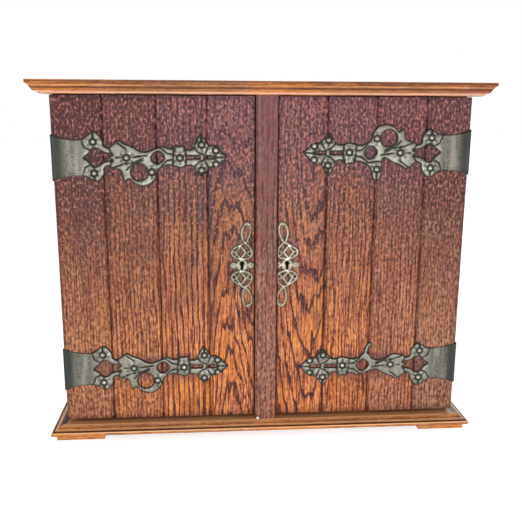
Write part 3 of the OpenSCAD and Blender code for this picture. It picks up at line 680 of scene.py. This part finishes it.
# veins and parting lines of the leaves: mm from the door's edge and above the hinge's middle
creases = [
    [(29, 16.5), (31.5, 10), (36, 7.5)], [(29, -15.5), (31.5, -10), (36, -7.5)],
    [(50, 12), (55, 9), (58, 3.4)], [(50, -12), (55, -9), (58, -3.4)],
    [(62, 0), (67, 0)], [(77, 0), (92, -2)], [(60, 10), (70, 6), (80, 5), (88, 1)], [(64, -14), (72, -8)],
    [(72, 12), (78, 6), (88, 3)], [(88, -9), (96, -8.5), (106, -10)], [(95.7, -20), (95.7, -28)],
    [(106, 8), (112, 3), (118, 2)], [(106, -9), (112, -4), (118, -3)], [(117.5, 8), (118.5, -8)],
    [(130.5, 8), (130.5, 3)], [(130.5, -8), (130.5, -3)], [(120, -6), (119.5, -11)],
    [(129, -6), (129.5, -11)], [(139, 9), (144, 4), (148, 3)], [(139, -9), (144, -4), (148, -3)],
    [(153.5, 10.5), (150, 4)],
    [(153.5, -12), (150, -4)], [(160, 0), (170, 0)], [(146, 16), (146, 20)], [(146, -16), (146, -22)],
    [(40, 19.5), (41, 24)], [(40, -19), (40, -24)],
]


def strap(side, end):
    look = strapLook
    node = side + "_strap_" + end
    hand = 1 if side == "right" else -1
    outer = rightEdge if side == "right" else leftEdge
    centreZ = middle("leaf_" + side + "_" + end).z
    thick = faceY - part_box(node)[0].y
    studs = islandCentres(side + "_studs")
    bm = mergedMesh(node)
    tree = rimTree(bm, look["rimStep"], studs, look["hole"])
    thing = remeshed(bm, node + "_pressed", look["voxel"])
    x, z, rim = frontView(thing, tree)
    fromEdge = (outer - x) * hand
    above = (z - centreZ) * hand

    # leaves with veins
    veins = np.zeros(len(x))
    for crease in creases:
        line = [(s * mm, t * mm) for s, t in crease]
        veins = np.maximum(veins, bell(lineDistance(fromEdge, above, line), look["veinWide"]))
    leafy = look["rim"] + look["swell"] * swollen(rim, look["round"]) - look["crease"] * veins

    # a rosette round every stud
    gapX, gapZ = x[:, None] - studs[:, 0], z[:, None] - studs[:, 1]
    gaps = np.hypot(gapX, gapZ)
    nearest = gaps.argmin(axis=1)
    rows = np.arange(len(x))
    away = gaps[rows, nearest]
    angle = np.arctan2(gapZ[rows, nearest], gapX[rows, nearest])
    wave = np.cos(look["petals"] * angle) * bell(away - look["petalAt"], look["petalWide"])
    leafy = leafy + look["petal"] * wave + look["ridge"] * bell(away - look["ridgeAt"], look["ridgeWide"])
    leafy = leafy - look["groove"] * bell(away - look["grooveAt"], look["grooveWide"])
    leafyLevel = 0.95 * step(rim, 0.1 * mm, 2.0 * mm) + 0.3 * wave
    leafyLevel = leafyLevel - 0.8 * veins - 0.9 * bell(away - look["grooveAt"], 0.9 * mm)

    # the plain plate has only a raised border
    border = 0.5 * mm * step(rim, 0, 0.9 * mm) + 0.25 * mm * bell(rim - 1.8 * mm, 0.7 * mm)
    plain = look["rim"] + border
    plainLevel = 0.5 + 0.32 * step(rim, 0, 1.2 * mm)
    share = step(fromEdge, look["plate"] - 3 * mm, look["plate"] + 4 * mm)
    height = plain * (1 - share) + leafy * share
    level = plainLevel * (1 - share) + leafyLevel * share
    under = step(away, look["stud"], look["stud"] - 0.4 * mm)
    height = height * (1 - under) + look["seat"] * under
    emboss(thing, np.clip(height, look["least"], look["most"]), thick, np.clip(level, 0, 1))
    stand(thing, node, side, embossedPewter)


for side in ("left", "right"):
    for end in ("top", "bottom"):
        strap(side, end)
print("straps done")

escutcheonLook = {
    "voxel": 0.26 * mm,
    "rimStep": 0.2 * mm,
    "hole": 1.0 * mm,       # more than the radius of the nail holes
    "rim": 0.35 * mm,
    "swell": 1.3 * mm,
    "round": 1.5 * mm,
    "fuller": 0.35 * mm,    # how far the sides of the bands move out
    "keyhole": 5.5 * mm,    # no band is widened as near as this to the keyhole
    "plateIn": 5 * mm,      # the plate round the keyhole is twice as wide as high
    "plateOut": 6.2 * mm,
    "nailIn": 0.9 * mm,
    "nailOut": 1.3 * mm,
    "plateLevel": 0.68,
    "nailLevel": 0.3,
}


def widen(thing, where):
    # rounder, fuller bands: their walls move outwards
    mesh = thing.data
    push = vertexValues(mesh, "normal") * (escutcheonLook["fuller"] * where)[:, None]
    push[:, 1] = 0
    moved = (vertexValues(mesh, "co") + push).ravel().astype(np.float32)
    mesh.vertices.foreach_set("co", moved)


def escutcheon(side, material):
    look = escutcheonLook
    node = side + "_escutcheon"
    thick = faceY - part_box(node)[0].y
    bm = mergedMesh(node)
    nails = islandCentres(side + "_escutcheon_pins")
    tree = rimTree(bm, look["rimStep"], nails, look["hole"])
    thing = remeshed(bm, node + "_cast", look["voxel"])
    x, z, rim = frontView(thing, tree)
    keyX, keyZ = keyholePlace(side)
    widen(thing, np.hypot(x - keyX, z - keyZ) > look["keyhole"])
    fullness = swollen(rim, look["round"])
    plate = step(np.hypot((x - keyX) / 2, z - keyZ), look["plateOut"], look["plateIn"])
    away = np.hypot(x[:, None] - nails[:, 0], z[:, None] - nails[:, 1]).min(axis=1)
    under = step(away, look["nailOut"], look["nailIn"])
    height = look["rim"] + look["swell"] * fullness
    height = height * (1 - under) + thick * under
    level = (0.25 + 0.6 * fullness) * (1 - plate) + look["plateLevel"] * plate
    level = level * (1 - under) + look["nailLevel"] * under
    emboss(thing, height, thick, level)
    stand(thing, node, side, material)


escutcheon("left", dullBrass)
escutcheon("right", paleBrass)
print("escutcheons done")

stageLook = {
    "floor": tone(236, 236, 236),
    "floorHalf": 6,
    "glow": 0.72,
    "sky": 0.4,
    "skyFrom": 0.35,
    "horizon": 1.0,
    "horizonTo": 0.17,
}
bm = bmesh.new()
bmesh.ops.create_grid(bm, x_segments=1, y_segments=1, size=stageLook["floorHalf"])
floorMesh = bpy.data.meshes.new("floor")
bm.to_mesh(floorMesh)
bm.free()
floorPaint = Paint("floor").finish(Base_Color=stageLook["floor"], Roughness=0.9,
                                   Emission_Color=(1, 1, 1, 1), Emission_Strength=stageLook["glow"])
floorMesh.materials.append(floorPaint)
floor = addObject("floor", floorMesh)

world = bpy.data.worlds.new("studio")
scene.world = world
world.use_nodes = True
tree = world.node_tree
coordinate = tree.nodes.new("ShaderNodeTexCoord")
split = tree.nodes.new("ShaderNodeSeparateXYZ")
ramp = tree.nodes.new("ShaderNodeValToRGB")
ramp.color_ramp.elements[0].position = stageLook["horizonTo"]
ramp.color_ramp.elements[0].color = (stageLook["horizon"],) * 3 + (1,)
ramp.color_ramp.elements[1].position = stageLook["skyFrom"]
ramp.color_ramp.elements[1].color = (stageLook["sky"],) * 3 + (1,)
tree.links.new(coordinate.outputs["Generated"], split.inputs[0])
tree.links.new(split.outputs["Z"], ramp.inputs[0])
tree.links.new(ramp.outputs[0], tree.nodes["Background"].inputs["Color"])

lamps = {
    "key": dict(at=(0.05, -1.1, 0.08), aim=(0, 0, 0.10), wide=0.8, high=0.2, power=5),
    "fill": dict(at=(-0.3, -1.2, 0.9), aim=(0, 0, 0.1), wide=0.8, high=0.6, power=2),
    "behind": dict(at=(0.6, 1.6, 0.7), aim=(0, 0, 0.2), wide=1.2, high=0.8, power=6),
}


def lamp(name, at, aim, wide, high, power):
    light = bpy.data.lights.new(name, "AREA")
    light.shape = "RECTANGLE"
    light.size = wide
    light.size_y = high
    light.energy = power
    thing = addObject(name, light)
    thing.location = at
    thing.rotation_euler = (Vector(aim) - Vector(at)).to_track_quat("-Z", "Y").to_euler()
    thing.visible_camera = False


for name, settings in lamps.items():
    lamp(name, **settings)

cameraLook = {
    "lens": 47.66,
    "at": (-0.14239, -1.66343, 0.78052),  # in door widths, from the middle, the doors' face and their foot
    "sensor": 36,
    "yaw": 0.08009,
    "pitch": 0.21996,
    "roll": 0.0056,
}


def setCamera(look):
    data = bpy.data.cameras.new("camera")
    data.sensor_width = look["sensor"]
    data.lens = look["lens"]
    yaw, pitch, roll = look["yaw"], look["pitch"], look["roll"]
    ahead = Vector((math.sin(yaw) * math.cos(pitch), math.cos(yaw) * math.cos(pitch), -math.sin(pitch)))
    right = Vector((math.cos(yaw), -math.sin(yaw), 0))
    up = right.cross(ahead)
    turned = right * math.cos(roll) + up * math.sin(roll)
    raised = up * math.cos(roll) - right * math.sin(roll)
    sideways, out, height = (share * doorsWide for share in look["at"])
    camera = addObject("camera", data)
    matrix = Matrix((turned, raised, -ahead)).transposed().to_4x4()
    matrix.translation = (sideways, faceY + out, doorFoot + height)
    camera.matrix_world = matrix
    scene.camera = camera


setCamera(cameraLook)
scene.view_settings.view_transform = "Standard"
print("stage done")
